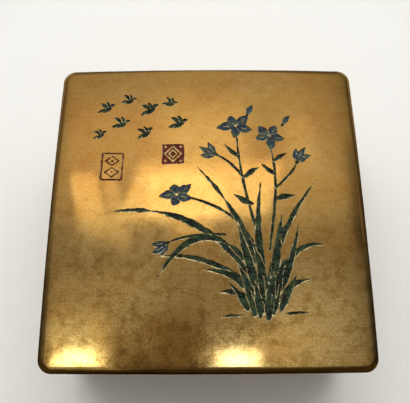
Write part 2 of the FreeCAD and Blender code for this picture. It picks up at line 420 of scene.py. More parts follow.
def engravePlant():
    for stem in stems:
        engraveStroke(stem, 0.36, "leaf", (1.1, 0.9, 0.8), 1.4)
    for root, tip, width in (((12.4, 0.5), (7.2, 3.4), 0.9), ((10.0, 8.0), (14.6, 11.2), 0.85),
                             ((19.2, 2.0), (24.4, 3.0), 0.9), ((19.2, 9.0), (14.9, 12.6), 0.75),
                             ((8.7, 14.5), (4.9, 18.3), 0.7), ((18.8, 13.0), (22.6, 15.6), 0.7)):
        engravePetal(root, tip, width, "leaf", vein=False)
    engraveBlossom((8.2, 23.8), 4.9, 0.5, 0.82, 0.3)
    engraveBlossom((17.8, 20.6), 4.6, 1.2, 0.9, -0.2)
    engraveBlossom((-8.4, 3.2), 4.6, 0.2, 0.74, 0.5)
    engraveBell((2.2, 15.2), 4.8, 2.6)
    engraveBell((25.4, 13.0), 4.7, 1.0)
    engraveBell((-11.0, -10.4), 4.6, 3.7)
    engraveBud((11.8, 27.6), 3.4, 1.1)
    engraveBud((22.0, 24.6), 3.2, 0.9)
    for blade in blades:
        engraveBlade(*blade)


# two red marks with geometric fillings
marks = {
    "square": {"centre": (-9.6, 15.2), "size": (6.4, 6.2), "turn": 0.02, "corner": 0.6,
               "lozenges": (2.3, 1.15), "dots": 2.15, "dotRadius": 0.20},
    "upright": {"centre": (-26.6, 11.6), "size": (6.4, 8.4), "turn": -0.03, "corner": 0.7,
                "lozenge": (1.9, 1.35), "rowShare": 0.20, "dotRadius": 0.45},
    "frameWidth": 0.55,
    "lineLeft": 0.08,  # half widths of a line left standing and of one cut
    "lineCut": 0.26,
    "shake": 0.8,
}


def lozenge(centre, size):  # its four sides
    corners = [centre + heading(k * math.pi / 2) * size for k in range(5)]
    return zip(corners[:-1], corners[1:])


def engraveSquareMark():  # a filled square with nested lozenges left standing in it
    mark = marks["square"]
    centre = np.array(mark["centre"])
    cut(boxDistance(centre, mark["size"], mark["turn"], mark["corner"]), "mark", 1.25, marks["shake"])
    for size in mark["lozenges"]:
        for start, end in lozenge(centre, size):
            leave(lineDistance(start, end, marks["lineLeft"]))
    for k in range(4):
        corner = np.array([(-1) ** k, (-1) ** (k // 2)])
        leave(dotDistance(centre + corner * mark["dots"], mark["dotRadius"]))


def engraveUprightMark():  # an outlined upright field with a stack of lozenges
    mark = marks["upright"]
    centre, size = np.array(mark["centre"]), np.array(mark["size"])
    outer = boxDistance(centre, size, mark["turn"], mark["corner"])
    cut(np.maximum(outer, -outer - marks["frameWidth"]), "mark", 1.6, marks["shake"])
    for row in (-1, 1):
        middle = centre + np.array([0, row * size[1] * mark["rowShare"]])
        for start, end in lozenge(middle, mark["lozenge"]):
            cut(lineDistance(start, end, marks["lineCut"]), "mark", 1.6, marks["shake"])
        cut(dotDistance(middle, mark["dotRadius"]), "mark", 1.6)


engravePlant()
for x, y, size, turn in birds:
    engraveBird(np.array([x, y]), size, turn)
engraveSquareMark()
engraveUprightMark()


def wallWidths():  # the width of the wall next to each point
    soft = smoothed(np.clip(field, -1, 1), 0.5)
    rise, run = np.gradient(soft)
    side = engraving["slopingSide"]
    facing = (run * side[0] + rise * side[1]) / (np.hypot(rise, run) + 1e-6)
    narrow, wide = engraving["wallWidth"]
    return narrow + (wide - narrow) * (0.5 + 0.5 * np.clip(facing, -1, 1))


walls = wallWidths()
print("engraving drawn")

# Which two edges of a cell a contour joins, for each set of corners that lie inside: bottom 0, right 1,
# top 2, left 3.
crossings = {1: [(0, 3)], 2: [(1, 0)], 3: [(1, 3)], 4: [(2, 1)], 6: [(2, 0)], 7: [(2, 3)], 8: [(3, 2)],
             9: [(0, 2)], 11: [(1, 2)], 12: [(3, 1)], 13: [(0, 1)], 14: [(3, 0)]}
saddles = {  # two opposite corners: joined across the middle or not
    5: {True: [(0, 1), (2, 3)], False: [(0, 3), (2, 1)]},
    10: {True: [(3, 0), (1, 2)], False: [(1, 0), (3, 2)]},
}


def contour(grid):  # closed loops where the grid's values pass zero, negative on the left
    inside = grid < 0
    corners = [inside[:-1, :-1], inside[:-1, 1:], inside[1:, 1:], inside[1:, :-1]]
    case = sum(c.astype(int) << k for k, c in enumerate(corners))
    follows = {}
    width = len(axis)
    for row, column in np.argwhere((case > 0) & (case < 15)):
        here = row * width + column
        edges = (2 * here, 2 * (here + 1) + 1, 2 * (here + width), 2 * here + 1)
        which = int(case[row, column])
        if which in saddles:
            pairs = saddles[which][bool(grid[row:row + 2, column:column + 2].mean() < 0)]
        else:
            pairs = crossings[which]
        for start, end in pairs:
            follows[edges[start]] = edges[end]
    loops = []
    while follows:
        first = next(iter(follows))
        loop, edge = [], first
        while edge in follows:
            loop.append(edge)
            edge = follows.pop(edge)
        loops.append(np.array(loop))
    found = []
    for loop in loops:
        row, column = np.divmod(loop // 2, width)
        upright = loop % 2
        here = grid[row, column]
        there = grid[row + upright, column + 1 - upright]
        share = here / (here - there)
        x = axis[column] + share * (1 - upright) * engraving["step"]
        y = axis[row] + share * upright * engraving["step"]
        found.append(np.column_stack([x, y]))
    return found


def simplified(loop):  # fewer points on the same line
    keep = np.zeros(len(loop), bool)
    far = int(np.argmax(((loop - loop[0]) ** 2).sum(1)))
    keep[[0, far]] = True
    closed = np.vstack([loop, loop[:1]])
    stack = [(0, far), (far, len(loop))]
    while stack:
        first, last = stack.pop()
        if last - first < 2:
            continue
        along = closed[last] - closed[first]
        away = closed[first + 1:last] - closed[first]
        length = math.hypot(*along)
        if length < 1e-9:
            gap = np.hypot(away[:, 0], away[:, 1])
        else:
            gap = np.abs(away[:, 0] * along[1] - away[:, 1] * along[0]) / length
        worst = int(np.argmax(gap))
        if gap[worst] > engraving["smooth"]:
            middle = first + 1 + worst
            keep[middle] = True
            stack += [(first, middle), (middle, last)]
    return loop[keep]


def valueAt(grid, points):
    place = (points + engraving["reach"]) / engraving["step"]
    inside = ((place >= 0) & (place < len(axis) - 1)).all(1)
    column, row = np.clip(place.astype(int), 0, len(axis) - 2).T
    u, v = (place - np.column_stack([column, row])).T
    value = (grid[row, column] * (1 - u) * (1 - v) + grid[row, column + 1] * u * (1 - v)
             + grid[row + 1, column] * (1 - u) * v + grid[row + 1, column + 1] * u * v)
    return np.where(inside, value, 9.0)


def triangulated(loops, depths, loosePoints):  # the top as triangles that follow every loop
    points, known, edges = [], [], []
    for loop, depth in zip(loops, depths):
        first = len(points)
        points += loop.tolist()
        known += [depth] * len(loop)
        edges += [(first + k, first + (k + 1) % len(loop)) for k in range(len(loop))]
    points += loosePoints.tolist()
    known += [None] * len(loosePoints)
    result = delaunay_2d_cdt([Vector(p) for p in points], edges, [], 0, 1e-7, True)
    places = np.array([tuple(p) for p in result[0]])
    inward = -valueAt(field, places)
    width = valueAt(walls, places)
    share = np.clip(inward / width, 0, 1)  # 0 at the lip and 1 at the lacquer
    for index, sources in enumerate(result[3]):
        for source in sources:
            if known[source] is not None:
                share[index] = known[source]
    return places, share, np.maximum(inward - width, 0), np.array(result[2]), result[3]


def floorSamples():  # points inside each wide cut, along the bottom of each narrow one and along each crest
    step = engraving["floorStep"]
    inner = (field + walls)[::step, ::step] < -engraving["floorMargin"]
    rows, columns = np.nonzero(inner)
    wide = np.column_stack([axis[::step][columns], axis[::step][rows]])
    middle, left, right = field[1:-1, 1:-1], field[1:-1, :-2], field[1:-1, 2:]
    under, over = field[:-2, 1:-1], field[2:, 1:-1]
    wall = walls[1:-1, 1:-1]
    depth, share = engraving["trough"]
    lowest = ((middle < -depth) & (middle > -wall * share)
              & (middle <= under) & (middle <= over) & (middle <= left) & (middle <= right))
    depth, share = engraving["crest"]
    crest = ((middle < -depth) & (middle > -wall * share)
             & (((middle > left) & (middle > right)) | ((middle > under) & (middle > over))))
    rows, columns = np.nonzero(lowest | crest)
    narrow = np.column_stack([axis[columns + 1], axis[rows + 1]])
    return np.vstack([wide, narrow])


def cleanLoops(grid):  # the contours that are large enough to cut
    loops = [simplified(loop) for loop in contour(grid) if len(loop) > 6]
    return [loop for loop in loops if len(loop) > 3]


def cutTop(rim):  # the top inside its rim, as triangles that follow the lip and the foot of every wall
    step = lidForm["plateStep"]
    lips, feet = cleanLoops(field), cleanLoops(field + walls)
    spread = np.arange(-half, half, step) + step / 2
    plain = np.array([(x, y) for y in spread for x in spread])
    plain = plain[(insetOf(plain[:, 0], plain[:, 1]) > lidForm["rimRoll"]) & (valueAt(field, plain) > 0.3)]
    depths = [0.0] * (1 + len(lips)) + [1.0] * len(feet)
    return triangulated([rim] + lips + feet, depths, np.vstack([plain, floorSamples()]))


def ceilingRings(points, outward):  # the inner side, from the seam up to near the middle
    form = lidForm
    topZ = lidHigh.z - form["topSheet"]
    radius = form["domeRadius"] - form["topSheet"]
    rings = panRings(points - outward * form["bandWall"], outward, lidLow.z, topZ, radius,
                     form["ceilingRound"], form["ceilingAngle"], form["ceilingRound"], form["ceilingSteps"])
    rim = rings[-1][:, :2]
    for share in form["ceilingShares"]:
        ring = rim * share
        rings.append(np.column_stack([ring, topZ - radius + np.sqrt(radius ** 2 - (ring ** 2).sum(1))]))
    return rings


def buildLid(brass, wallBrass, freshCut, lacquers):
    points, outward = outline()
    form = lidForm
    rings = panRings(points, outward, lidLow.z, lidHigh.z, form["domeRadius"], form["rimRoll"],
                     form["rollAngle"], form["edgeRound"], form["rollSteps"])
    for ring in rings[1:]:
        ring[:, 2] -= worn(ring[:, 0], ring[:, 1])
    places, share, inward, triangles, sources = cutTop(rings[-1][:, :2])
    print("top triangulated", len(places), "points", len(triangles), "triangles")

    top = plateHeight(places[:, 0], places[:, 1])
    centres = places[triangles].mean(1)
    level = valueAt(field, centres)
    isFloor = level < -valueAt(walls, centres)
    vertices = [tuple(p) for p in np.column_stack([places, top - engraving["wallDepth"] * share])]
    faces = triangles[~isFloor].tolist()
    slots = (level[~isFloor] < 0).astype(int).tolist()  # 1 on the walls of the cuts
    floorTriangles = triangles[isFloor]
    lower = {}
    for index in np.unique(floorTriangles).tolist():
        lower[index] = len(vertices)
        vertices.append((places[index, 0], places[index, 1], top[index] - engraving["floorDepth"]))
    faces += [[lower[i] for i in triangle] for triangle in floorTriangles.tolist()]
    faces += [[b, a, lower[a], lower[b]] for a, b in borderOf(floorTriangles.tolist())]
    slots += [1] * (len(faces) - len(slots))

    count = len(points)
    indexOf = {source: index for index, merged in enumerate(sources) for source in merged}
    rows = [[indexOf[k] for k in range(count)]]
    for ring in rings[-2::-1] + ceilingRings(points, outward):
        rows.append(list(range(len(vertices), len(vertices) + count)))
        vertices += [tuple(p) for p in ring]
    for number, (upper, under) in enumerate(zip(rows[:-1], rows[1:])):
        around = zip(upper, under, under[1:] + under[:1], upper[1:] + upper[:1])
        faces += [list(face) for face in around]
        slots += [2 if number == len(rings) - 2 else 0] * count  # 2 on the upright outer wall
    faces.append(rows[-1][::-1])
    slots.append(0)
    lid = addMesh("lid_engraved_top", np.array(vertices) * mm, faces, [brass, freshCut, wallBrass], slots)
    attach(lid, "lid")
    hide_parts("lid_top")

    toneOf = tonesAt(places[floorTriangles].mean(1))
    for tone, number in tones.items():
        buildLacquer(tone, floorTriangles[toneOf == number].tolist(), places, top, inward, lacquers[tone])


def tonesAt(points):
    place = np.round((points + engraving["reach"]) / engraving["step"]).astype(int)
    column, row = np.clip(place, 0, len(axis) - 1).T
    return toneAt[row, column]


def borderOf(triangles):  # the directed edges that only one triangle has
    edges = set()
    for a, b, c in triangles:
        edges.update(((a, b), (b, c), (c, a)))
    return [(a, b) for a, b in edges if (b, a) not in edges]


# lacquer rubbed into the cuts, as closed solids
def buildLacquer(tone, triangles, places, top, inward, material):
    vertices, upper, under = [], {}, {}
    bottom = engraving["floorDepth"] - 0.01
    depth, width = engraving["dip"]
    height, closeness = engraving["ripple"]
    for index in sorted({i for t in triangles for i in t}):
        x, y = places[index]
        ripple = height * noise.noise(Vector((x * closeness, y * closeness, 4.0)))
        dip = depth * min(inward[index] / width, 1.0) + ripple
        upper[index] = len(vertices)
        sunk = engraving["wallDepth"] + (dip if inward[index] > 0.01 else 0.0)
        vertices.append((x, y, top[index] - sunk))
        under[index] = len(vertices)
        vertices.append((x, y, top[index] - bottom))
    faces = []
    for a, b, c in triangles:
        faces.append([upper[a], upper[b], upper[c]])
        faces.append([under[c], under[b], under[a]])
    for a, b in borderOf(triangles):
        faces.append([upper[b], upper[a], under[a], under[b]])
    piece = addMesh(tone + "_lacquer", np.array(vertices) * mm, faces, [material], sharpAngle=35)
    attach(piece, "lid")


brassLook = {
    "clean": "#D6A250",
    "warm": "#D1964A",
    "dulled": "#CFA25C",  # from years of handling
    "pale": "#D3B172",    # where fingers touched it last
    "brown": "#A39B72",   # darkens what lies under it
    "edge": "#4A3515",    # painted shade where the rim turns down
    "patterns": {
        "cloud": (13.0, 3.0, 0.55, 0.3, 0.36, 0.60),
        "mottle": (3.0, 5.0, 0.65, 0.2, 0.44, 0.62),     # smudges of the polishing cloth
        "speckling": (0.42, 3.0, 0.7, 0.0, 0.42, 0.70),  # pits of tarnish, coarser than the real ones
        "wave": (14.0, 1.0, 0.5, 0.0),                   # unevenness of the hand-flattened sheet
    },
    "stroke": (3.0, 0.6, 0.0, 0.35, 0.65),
    "smudge": (0.52, 0.34),    # levels of the mottle
    "browned": (("smudge", 0.66, 0.06), ("speckling", 0.66, 0.20)),  # the more by tarnish, and always
    "strokeTarnish": 0.16,
    "scratch": ((8.0, 0.24, 8.0), 1.0, 0.5, 0.0, 0.64, 0.74),  # wider than the real ones, so that they show
    "scratches": ((32.0, 0.46), (-58.0, 0.38), (12.0, 0.40), (-20.0, 0.34)),  # degrees, and how bright
    "scratchBend": 0.25,
    "tarnishFrom": 6.0,        # mm, towards the front the tarnish grows
    "tarnishTo": -24.0,
    "smearWaver": 30.0,        # mm, how unevenly a smear ends
    "smearFade": (22.0, 11.0),
    "seamWaver": 3.0,
    "seamFade": (2.6, 1.2),    # mm from the seam
    "seamDirt": 0.45,
    "rimShadeSlope": (0.915, 0.85),  # cosines of the slopes where the painted rim shade begins and is darkest
    "roughness": (0.055, 0.12),  # of clean metal, and what the film adds
    "relief": (("wave", 0.05), ("mottle", 0.004), ("stroke", 0.0015)),  # mm
}


# Brass polished by hand: glossy and warm, clouded by tarnish and mottled by the cloth, with hairlines.
def agedBrass(name, tarnishRange, brushed, strokeShare, smears=(), seams=(), edge=0.0):
    look = brassLook
    material, tree, place = newMaterial(name)
    noises, shares = addPatterns(tree, place, dict(look["patterns"], stroke=(brushed, *look["stroke"])))
    shares["smudge"] = addNode(tree, "MapRange", {"Value": noises["mottle"], "From Min": look["smudge"][0],
                                                  "From Max": look["smudge"][1]})
    parts = addNode(tree, "SeparateXYZ", {0: place}).outputs
    tarnish = addNode(tree, "MapRange", {
        "Value": parts["Y"], "From Min": look["tarnishFrom"] * mm, "From Max": look["tarnishTo"] * mm,
        "To Min": tarnishRange[0], "To Max": tarnishRange[1]})
    film = addNode(tree, "Math", {0: shares["cloud"], 1: tarnish}, operation="MULTIPLY")
    for centre, radius, amount in smears:
        away = addNode(tree, "VectorMath", {0: place, 1: [c * mm for c in centre]}, operation="DISTANCE")
        uneven = addNode(tree, "Math", {0: noises["cloud"], 1: look["smearWaver"] * mm, 2: away},
                         operation="MULTIPLY_ADD")
        none, full = ((radius + fade) * mm for fade in look["smearFade"])
        smear = addNode(tree, "MapRange", {"Value": uneven, "From Min": none, "From Max": full,
                                           "To Max": amount}, interpolation_type="SMOOTHSTEP")
        film = addNode(tree, "Math", {0: film, 1: smear}, operation="ADD", use_clamp=True)
    thin = addNode(tree, "MapRange", {"Value": shares["mottle"], "To Min": 0.5, "To Max": 1.0})
    film = addNode(tree, "Math", {0: film, 1: thin}, operation="MULTIPLY")
    colour = addNode(tree, "Mix", {0: shares["cloud"], 6: look["warm"], 7: look["clean"]})
    colour = addNode(tree, "Mix", {0: tarnish, 6: colour, 7: look["dulled"]})
    colour = addNode(tree, "Mix", {0: film, 6: colour, 7: look["pale"]})
    for key, most, least in (*look["browned"], ("stroke", look["strokeTarnish"], strokeShare)):
        strength = addNode(tree, "Math", {0: tarnish, 1: most, 2: least}, operation="MULTIPLY_ADD")
        share = addNode(tree, "Math", {0: shares[key], 1: strength}, operation="MULTIPLY", use_clamp=True)
        colour = addNode(tree, "Mix", {0: share, 6: colour, 7: look["brown"]}, blend_type="MULTIPLY")
    for turn, strength in look["scratches"]:  # a few hairlines each way, slightly bent
        bend = addNode(tree, "Math", {0: noises["cloud"], 1: look["scratchBend"], 2: math.radians(turn)},
                       operation="MULTIPLY_ADD")
        turned = addNode(tree, "VectorRotate", {"Vector": place, "Angle": bend}, rotation_type="Z_AXIS")
        hairs = addPatterns(tree, turned, {"hairs": look["scratch"]})[1]["hairs"]
        share = addNode(tree, "Math", {0: hairs, 1: strength}, operation="MULTIPLY")
        colour = addNode(tree, "Mix", {0: share, 6: colour, 7: look["pale"]})
    for height in seams:  # old polish and dirt stay along a seam
        away = addNode(tree, "Math", {0: parts["Z"], 1: height}, operation="SUBTRACT")
        away = addNode(tree, "Math", {0: away}, operation="ABSOLUTE")
        uneven = addNode(tree, "Math", {0: noises["mottle"], 1: look["seamWaver"] * mm, 2: away},
                         operation="MULTIPLY_ADD")
        none, full = (fade * mm for fade in look["seamFade"])
        dirt = addNode(tree, "MapRange", {"Value": uneven, "From Min": none, "From Max": full,
                                          "To Max": look["seamDirt"]}, interpolation_type="SMOOTHSTEP")
        colour = addNode(tree, "Mix", {0: dirt, 6: colour, 7: look["brown"]}, blend_type="MULTIPLY")
    if edge:  # and paint shade on the metal where the rim turns down, and over the whole underside
        upward = addNode(tree, "SeparateXYZ", {0: place.node.outputs["Normal"]}).outputs["Z"]
        paintedRimShade = addNode(tree, "MapRange", {"Value": upward, "From Min": look["rimShadeSlope"][0],
                                             "From Max": look["rimShadeSlope"][1], "To Max": edge})
        colour = addNode(tree, "Mix", {0: paintedRimShade, 6: colour, 7: look["edge"]})
    polished, filmed = look["roughness"]
    rough = addNode(tree, "Math", {0: film, 1: filmed, 2: polished}, operation="MULTIPLY_ADD")
    bump = None
    for key, depth in look["relief"]:
        inputs = {"Strength": 1.0, "Distance": depth * mm, "Height": noises[key]}
        bump = addNode(tree, "Bump", dict(inputs, Normal=bump) if bump else inputs)
    return addSurface(material, {"Base Color": colour, "Metallic": 1.0, "Roughness": rough, "Normal": bump})


cutLook = {"bright": "#EBD6A0", "dull": "#7A6034", "patterns": {"wear": (1.4, 3.0, 0.6, 0.0, 0.38, 0.62)}}


# Walls that the graver left, with dried polish caught in them: thin pale lines round the lacquer.
def cutBrass():
    material, tree, place = newMaterial("graver_cut_brass")
    wear = addPatterns(tree, place, cutLook["patterns"])[1]["wear"]
    colour = addNode(tree, "Mix", {0: wear, 6: cutLook["bright"], 7: cutLook["dull"]})
    return addSurface(material, {"Base Color": colour, "Metallic": 0.6, "Roughness": 0.36})


lacquerLook = {  # thick, thin, specks of another colour, worn thin over the brass
    "leaf": ("#0A1008", "#303C24", "#1B3E38", "#8A9270"),
    "blossom": ("#222A38", "#45523F", "#264A5E", "#94947F"),
    "mark": ("#5C1D17", "#471410", "#7A3422", "#8C6040"),
    "patterns": {
        "drift": (2.0, 3.0, 0.6, 0.0, 0.45, 0.62),
        "speck": (0.9, 3.0, 0.6, 0.0, 0.54, 0.66),
        "grain": (0.32, 3.0, 0.6, 0.0, 0.56, 0.74),
    },
    "cover": {"drift": 1.0, "speck": 0.8, "grain": 0.8},
}


# Oil colour rubbed into the cuts and wiped: matt, patchy, darkest where it is thick.
def rubbedLacquer(name, tone):
    material, tree, place = newMaterial(name)
    colour, *layers = lacquerLook[tone]
    shares = addPatterns(tree, place, lacquerLook["patterns"])[1]
    for (key, most), layer in zip(lacquerLook["cover"].items(), layers):
        cover = addNode(tree, "Math", {0: shares[key], 1: most}, operation="MULTIPLY")
        colour = addNode(tree, "Mix", {0: cover, 6: colour, 7: layer})
    bump = addNode(tree, "Bump", {"Strength": 0.6, "Distance": 0.03 * mm, "Height": cover})
    return addSurface(material, {"Base Color": colour, "Roughness": 0.5, "Specular IOR Level": 0.10,
                                 "Normal": bump})


lidSmears = [  # places dulled by fingers: centre in mm, radius, how dull
    ((26.0, -24.0, 35.5), 7.0, 0.6), ((33.0, 14.0, 35.2), 6.0, 0.25), ((36.0, -32.0, 35.0), 4.0, 0.45),
    ((-34.0, -12.0, 35.4), 5.0, 0.4), ((-4.0, -20.0, 35.8), 4.0, 0.3),
    ((-22.0, 39.0, 35.0), 8.0, 0.35), ((17.0, 40.0, 35.0), 8.0, 0.35)]
# the lid's brass, with painted shade where its rim turns down
lidBrass = agedBrass("polished_lid_brass", (0.16, 0.75), (9.0, 0.40, 8.0), 0.05, lidSmears, edge=0.75)
bandSeams = [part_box("base_side_band")[0].z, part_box("lid_side_band")[0].z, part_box("lid_side_band")[1].z]
bandBrass = agedBrass("side_band_brass", (0.10, 0.14), (12.0, 12.0, 0.25), 0.08, seams=bandSeams)
lacquers = {"leaf": rubbedLacquer("leaf_green_lacquer", "leaf"),
            "blossom": rubbedLacquer("bellflower_blue_lacquer", "blossom"),
            "mark": rubbedLacquer("vermilion_lacquer", "mark")}
buildLid(lidBrass, bandBrass, cutBrass(), lacquers)
print("lid built")


# the pieces that keep their solids
copperLook = {
    "bright": "#C27A55",
    "aged": "#8E4E36",
    "inkStain": "#17120F",
    "patterns": {
        "cloud": (7.0, 4.0, 0.5, 0.0, 0.38, 0.64),
        "fleck": (0.8, 3.0, 0.65, 0.0, 0.3, 0.7),
        "brushing": ((6.0, 6.0, 0.25), 2.0, 0.5, 0.0),
    },
    "stainHeight": (23.0, 12.0),   # mm above the table: clean from here, stained down from here
    "stainLevels": (0.42, 0.72),
    "cleanStain": 0.10,
    "stainedMetallic": 0.15,
    "roughness": (0.24, 0.44),
}


# Red copper sheet, burnished, browned and stained by ink: warm satin with dark spots.
def stainedCopper(name, stain):
    look = copperLook
    material, tree, place = newMaterial(name)
    noises, shares = addPatterns(tree, place, look["patterns"])
    colour = addNode(tree, "Mix", {0: shares["cloud"], 6: look["bright"], 7: look["aged"]})
    upward = addNode(tree, "SeparateXYZ", {0: place}).outputs["Z"]
    clean, dirty = (height * mm for height in look["stainHeight"])
    height = addNode(tree, "MapRange", {"Value": upward, "From Min": clean, "From Max": dirty,
                                        "To Min": look["cleanStain"], "To Max": stain})
    spotted = addNode(tree, "Math", {0: noises["cloud"], 1: noises["fleck"], 2: height},
                      operation="MULTIPLY_ADD")
    stained = addNode(tree, "MapRange", {"Value": spotted, "From Min": look["stainLevels"][0],
                                         "From Max": look["stainLevels"][1]})
    colour = addNode(tree, "Mix", {0: stained, 6: colour, 7: look["inkStain"]})
    metal = addNode(tree, "MapRange", {"Value": stained, "To Min": 1.0, "To Max": look["stainedMetallic"]})
    rough = addNode(tree, "MapRange", {"Value": shares["fleck"], "To Min": look["roughness"][0],
                                       "To Max": look["roughness"][1]})
    bump = addNode(tree, "Bump", {"Strength": 1.0, "Distance": 0.004 * mm, "Height": noises["brushing"]})
    return addSurface(material, {"Base Color": colour, "Metallic": metal, "Roughness": rough,
                                 "Normal": bump})


cementLook = {
    "dark": "#2B1E16",
    "brown": "#6A4C36",
    "brick": "#8A4A33",
    "grain": 0.7,                 # mm, from one grain to the next
    "grainLevels": (0.30, 0.12),  # as shares of that, where a grain begins and where it is full
    "brickShare": 0.6,
    "patterns": {"cloud": (3.0, 5.0, 0.65, 0.0)},
}


# Resin and brick dust, poured hot: dull brown with coarse red grains.
def resinCement():
    look = cementLook
    material, tree, place = newMaterial("brick_dust_cement")
    cloud = addPatterns(tree, place, look["patterns"])[0]["cloud"]
    grains = addNode(tree, "TexVoronoi", {"Vector": place, "Scale": 1 / (look["grain"] * mm)})
    brick = addNode(tree, "MapRange", {"Value": grains, "From Min": look["grainLevels"][0],
                                       "From Max": look["grainLevels"][1], "To Max": look["brickShare"]})
    colour = addNode(tree, "Mix", {0: cloud, 6: look["dark"], 7: look["brown"]})
    colour = addNode(tree, "Mix", {0: brick, 6: colour, 7: look["brick"]})
    bump = addNode(tree, "Bump", {"Strength": 0.8, "Distance": 0.15 * mm, "Height": cloud})
    return addSurface(material, {"Base Color": colour, "Roughness": 0.82, "Normal": bump})


slateLook = {
    "stone": "#26272B",
    "pale": "#3A3B40",
    "driedInk": "#0B0B0D",
    "patterns": {
        "cloud": (9.0, 5.0, 0.6, 0.0),
        "grain": (0.12, 2.0, 0.5, 0.0),
        "rubbing": ((0.25, 12.0, 12.0), 3.0, 0.5, 0.0),
    },
    "inkWaver": 34.0,       # mm, how unevenly the dried ink ends
    "inkFade": (41.0, 32.0),
    "roughness": (0.55, 0.30),  # of the stone and of dried ink
}


# Fine slate, honed flat: dull grey-black, glossier and blacker where ink has dried over the middle.
def honedSlate():
    look = slateLook
    material, tree, place = newMaterial("honed_slate")
    noises = addPatterns(tree, place, look["patterns"])[0]
    flat = addNode(tree, "VectorMath", {0: place, 1: (1, 1, 0)}, operation="MULTIPLY")
    away = addNode(tree, "VectorMath", {0: flat}, operation="LENGTH")
    uneven = addNode(tree, "Math", {0: noises["cloud"], 1: look["inkWaver"] * mm, 2: away},
                     operation="MULTIPLY_ADD")
    none, full = (fade * mm for fade in look["inkFade"])
    inked = addNode(tree, "MapRange", {"Value": uneven, "From Min": none, "From Max": full},
                    interpolation_type="SMOOTHSTEP")
    colour = addNode(tree, "Mix", {0: noises["cloud"], 6: look["stone"], 7: look["pale"]})
    colour = addNode(tree, "Mix", {0: inked, 6: colour, 7: look["driedInk"]})
    rough = addNode(tree, "MapRange", {"Value": inked, "To Min": look["roughness"][0],
                                       "To Max": look["roughness"][1]})
    fine = addNode(tree, "Bump", {"Strength": 0.5, "Distance": 0.01 * mm, "Height": noises["grain"]})
    bump = addNode(tree, "Bump", {"Strength": 0.6, "Distance": 0.006 * mm, "Height": noises["rubbing"],
                                  "Normal": fine})
    return addSurface(material, {"Base Color": colour, "Roughness": rough, "Normal": bump})


finishes = {
    "lid_side_band": bandBrass,
    "base_side_band": bandBrass,
    "base_plate": agedBrass("scuffed_bottom_brass", (0.8, 0.9), (0.25, 9.0, 9.0), 0.35,
                            [((0, 0, 0), 16.0, 0.5)]),
    "rim_collar": agedBrass("rubbed_collar_brass", (0.5, 0.6), (0.20, 0.20, 6.0), 0.35),
    "slab_bezel": stainedCopper("bezel_copper", 0.16),
    "well_liner": stainedCopper("stained_liner_copper", 0.42),
    "slab_bedding": resinCement(),
    "ink_slab": honedSlate(),
}
for name, finish in finishes.items():
    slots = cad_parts[name].data.materials
    slots.clear()
    slots.append(finish)
print("solids finished")


# the soaked silk wadding
waddingForm = {
    "scale": 10.0,         # the cloth is simulated ten times as large, where its forces suit its weight
    "shrink": 0.94,        # it starts smaller than its room and swells
    "voxel": 4.0,          # mm
    "pressure": 4.0,
    "frames": 20,
    "cap": 1.6,            # mm, no point moves further
    "folds": ((11.0, 1.1), (4.5, 0.55), (1.6, 0.22)),  # mm, length and height of the creases of the floss
    "crown": 0.8,          # the middle stands this much higher than the sides
    "roundness": 5.0,
    "steps": 18,
    "room": (0.05, 0.02),  # mm, at least this far inside the solid's box, below and above
}
silkLook = {
    "black": "#060607",
    "pale": "#1F1D20",
    "patterns": {
        "bend": (6.0, 2.0, 0.5, 0.0),
        "drained": (8.0, 3.0, 0.5, 0.0, 0.42, 0.58),
    },
    "fibres": ((0.22, 4.0, 4.0), 4.0, 0.7, 0.0, 0.52, 0.72),
    "swirl": 9.0,               # mm, how far the fibres wander
    "roughness": (0.06, 0.26),  # where the silk is wet through and where it has drained
    "relief": (0.25, 0.9),      # and how much its fibres stand out there
}


def evaluatedMesh(piece):  # as its modifiers make it
    return bpy.data.meshes.new_from_object(piece.evaluated_get(bpy.context.evaluated_depsgraph_get()))


def waddingShape(low, high):  # a thick square pad with round edges
    form = waddingForm
    count = form["steps"]
    middle, reach = (low + high) / 2, (high - low) / 2
    shape = bmesh.new()
    bmesh.ops.create_cube(shape, size=2.0)
    bmesh.ops.subdivide_edges(shape, edges=shape.edges[:], cuts=count - 1, use_grid_fill=True)
    for vertex in shape.verts:
        place = Vector([vertex.co[k] * reach[k] * form["shrink"] for k in range(3)])
        inner = Vector([max(min(place[k], reach[k] - form["roundness"]), form["roundness"] - reach[k])
                        for k in range(3)])
        away = place - inner
        if away.length > form["roundness"]:
            place = inner + away.normalized() * form["roundness"]
        vertex.co = place + middle
    mesh = bpy.data.meshes.new("wadding")
    shape.to_mesh(mesh)
    shape.free()
    return mesh


def swollen(mesh):  # filled like a cushion, with gravity off
    form = waddingForm
    scale = form["scale"] * mm
    mesh.transform(Matrix.Scale(scale, 4))
    pad = bpy.data.objects.new("wadding_in_the_making", mesh)
    scene.collection.objects.link(pad)
    remesh = pad.modifiers.new("even", "REMESH")
    remesh.mode = "VOXEL"
    remesh.voxel_size = form["voxel"] * scale
    even = evaluatedMesh(pad)
    pad.modifiers.clear()
    pad.data = even
    before = [vertex.co.copy() for vertex in even.vertices]
    cloth = pad.modifiers.new("swell", "CLOTH")
    cloth.settings.use_pressure = True
    cloth.settings.uniform_pressure_force = form["pressure"]
    cloth.settings.effector_weights.gravity = 0
    for number in range(1, form["frames"] + 1):
        scene.frame_set(number)
    result = evaluatedMesh(pad)
    scene.frame_set(1)
    bpy.data.objects.remove(pad)
    for vertex, start in zip(result.vertices, before):
        moved = vertex.co - start
        if moved.length > form["cap"] * scale:
            vertex.co = start + moved.normalized() * form["cap"] * scale
    result.transform(Matrix.Scale(1 / scale, 4))
    return result


